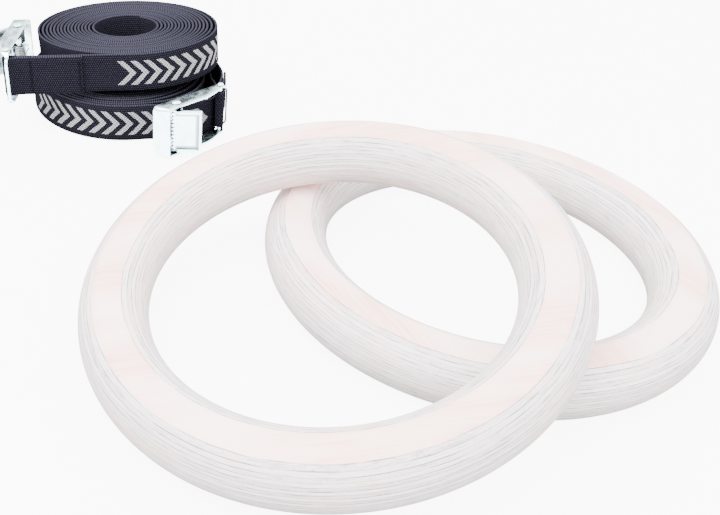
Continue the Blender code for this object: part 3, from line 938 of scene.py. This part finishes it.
def spring_line():
    """The torsion spring's wire: a leg forward, the coil, and a leg back."""
    steps = 28
    points = [(11 * MM, -SPRING_RADIUS, -0.5 * SPRING_TURNS * SPRING_PITCH)]
    for k in range(SPRING_TURNS * steps + steps // 2 + 1):
        a = -math.pi / 2 - 2 * math.pi * k / steps
        points.append((SPRING_RADIUS * math.cos(a), SPRING_RADIUS * math.sin(a),
                       (k / steps - 0.5 * SPRING_TURNS) * SPRING_PITCH))
    last = points[-1]
    points.append((last[0] - 6 * MM, last[1], last[2]))
    return soften(even(points, 0.35 * MM), 0.8)


def buckle_axes(prefix):
    """The buckle's frame as a matrix, with the strap bar at its origin."""
    bar, pin = (joint_at[prefix + name] for name in ("_buckle_turn", "_lever_press"))
    heading = math.atan2(pin.y - bar.y, pin.x - bar.x) - math.atan2(LEVER_PIN.y, LEVER_PIN.x)
    low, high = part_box(prefix + "_buckle_frame")
    middle = Vector((bar.x, bar.y, (low[2] + high[2]) / 2))
    return Matrix.Translation(middle) @ Matrix.Rotation(heading, 4, "Z")


def build_buckle(prefix):
    """One buckle: the bent sheet, the strap bar, the lever pin, the spring and the lever."""
    axes = buckle_axes(prefix)
    down = Matrix.Translation((0, 0, -BUCKLE_WIDTH / 2))
    seed = 0.0 if prefix == "lower" else 30.0
    plating = zinc(prefix + "_zinc", seed, axes)

    # The frame's faces that look up or down get painted shade
    sheet = zinc(prefix + "_sheet", seed + 5.0, axes, upright_brightness=0.42)
    band = skin(prefix + "_frame_zinc", frame_rows(), sheet, closed=True, angle=50)
    put(band, axes, prefix + "_buckle", [prefix + "_buckle_frame"])

    bar_pin = lathe(prefix + "_bar_zinc",
                    pin_profile(STRAP_BAR_RADIUS, STRAP_BAR_RADIUS + 0.9 * MM, BUCKLE_WIDTH), plating)
    put(bar_pin, axes @ down, prefix + "_buckle", [prefix + "_strap_bar"])

    rivet = lathe(prefix + "_pin_zinc",
                  pin_profile(LEVER_PIN_RADIUS, LEVER_PIN_RADIUS + 1.2 * MM, BUCKLE_WIDTH), plating)
    at_pin = Matrix.Translation((*LEVER_PIN, 0.0))
    put(rivet, axes @ at_pin @ down, prefix + "_buckle", [prefix + "_lever_pin"])

    steel = zinc(prefix + "_spring", seed + 3.0, axes, base=(0.46, 0.46, 0.47), rough=0.34)
    coil = tube(prefix + "_spring_wire", [spring_line()], SPRING_WIRE, steel, sides=10)
    put(coil, axes @ at_pin, prefix + "_buckle", [prefix + "_cam_spring"])

    axes = (axes @ at_pin @ Matrix.Translation((0, 0, -LEVER_WIDTH / 2))
            @ Matrix.Rotation(LEVER_ANGLE, 4, "Z"))
    lever = build_lever(prefix + "_lever_zinc", zinc(prefix + "_plate", seed + 9.0, axes, plate=True))
    put(lever, axes, prefix + "_lever", [prefix + "_cam_lever"])


# Stage, light and camera

FLOOR_GLOW = 8.4
SKY_LOW, SKY_RISE = 1.9, 6.0
HORIZON_HAZE = 6.5
HAZE_TOP = 0.09
KEY_POWER = 82.0
# Each lamp: place, size, share of the key's power
LAMPS = {
    "key": ((-0.9, -0.5, 1.5), (1.2, 1.2), 1.0),
    "fill": ((1.3, -0.9, 0.9), (1.0, 1.0), 0.24),
    "back": ((0.2, 1.5, 1.0), (1.6, 0.8), 0.20),
}
CAMERA_PITCH = math.radians(38.27)
CAMERA_ROLL = math.radians(-3.42)
CAMERA_FROM_REAR_RING = (-0.1317, -0.3909)
CAMERA_HEIGHT = 0.2875


def build_stage():
    """A pale floor, whose glow lights only the plated pieces."""
    n = Net("studio_white")
    fine = n.noise(n.stretch(n.place(), (40, 40, 40)), detail=2)
    n.finish(n.mix(fine, rgb(0.29, 0.29, 0.29), rgb(0.31, 0.31, 0.31)), 0.75, Specular_IOR_Level=0.0)
    n.shader.inputs["Emission Color"].default_value = rgb(1, 1, 1)
    n.shader.inputs["Emission Strength"].default_value = FLOOR_GLOW
    mesh = bpy.data.meshes.new("studio_floor")
    mesh.from_pydata([(-40, -40, 0), (40, -40, 0), (40, 40, 0), (-40, 40, 0)], [], [(0, 1, 2, 3)])
    floor = make_object("studio_floor", mesh, n.material)
    floor.location.z = -0.0002
    lit = bpy.data.collections.new("lit_by_the_floor")
    for piece in bpy.data.objects:
        if "zinc" in piece.name:
            lit.objects.link(piece)
    floor.light_linking.receiver_collection = lit


def area_light(name, place, size, power):
    """A soft white lamp aimed at the origin."""
    data = bpy.data.lights.new(name, "AREA")
    data.shape = "RECTANGLE"
    data.size, data.size_y = size
    data.energy = power
    made = bpy.data.objects.new(name, data)
    made.location = place
    made.rotation_euler = (-Vector(place)).to_track_quat("-Z", "Y").to_euler()
    bpy.context.collection.objects.link(made)


def build_light():
    """A bright sky with haze at the horizon, and the lamps."""
    world = bpy.data.worlds.new("studio")
    bpy.context.scene.world = world
    world.use_nodes = True
    tree = world.node_tree
    back = tree.nodes["Background"]
    back.inputs["Color"].default_value = rgb(0.97, 0.99, 1.0)
    place = tree.nodes.new("ShaderNodeTexCoord")
    parts = tree.nodes.new("ShaderNodeSeparateXYZ")
    rise = tree.nodes.new("ShaderNodeMapRange")
    tree.links.new(place.outputs["Generated"], parts.inputs[0])
    tree.links.new(parts.outputs[2], rise.inputs[0])
    rise.inputs[3].default_value = SKY_LOW
    rise.inputs[4].default_value = SKY_LOW + SKY_RISE
    haze = tree.nodes.new("ShaderNodeMapRange")
    tree.links.new(parts.outputs[2], haze.inputs[0])
    haze.inputs[2].default_value = HAZE_TOP
    haze.inputs[3].default_value = HORIZON_HAZE
    haze.inputs[4].default_value = 0.0
    total = tree.nodes.new("ShaderNodeMath")
    tree.links.new(rise.outputs[0], total.inputs[0])
    tree.links.new(haze.outputs[0], total.inputs[1])
    tree.links.new(total.outputs[0], back.inputs["Strength"])
    for name, (place, size, share) in LAMPS.items():
        area_light(name, place, size, KEY_POWER * share)


def build_camera():
    """The photo's viewpoint: a shifted lens, looking down at the rear ring with a slight roll."""
    ahead = Vector((0, math.cos(CAMERA_PITCH), -math.sin(CAMERA_PITCH)))
    right = Vector((1, 0, 0))
    under = ahead.cross(right)
    right, under = (math.cos(CAMERA_ROLL) * right + math.sin(CAMERA_ROLL) * under,
                    -math.sin(CAMERA_ROLL) * right + math.cos(CAMERA_ROLL) * under)
    data = bpy.data.cameras.new("view")
    data.sensor_width = 36.0
    data.lens = 44.21
    data.shift_x, data.shift_y = 0.1732, 0.0454
    data.clip_start = 0.01
    camera = bpy.data.objects.new("view", data)
    rear = box_middle("rear_ring")
    aside, back = CAMERA_FROM_REAR_RING
    place = Matrix.Translation((rear.x + aside, rear.y + back, CAMERA_HEIGHT))
    camera.matrix_world = place @ Matrix((right, -under, -ahead)).transposed().to_4x4()
    bpy.context.collection.objects.link(camera)
    bpy.context.scene.camera = camera


build_rings()
for side in ("lower", "upper"):
    build_strap(side)
    build_buckle(side)
build_stage()
build_light()
build_camera()
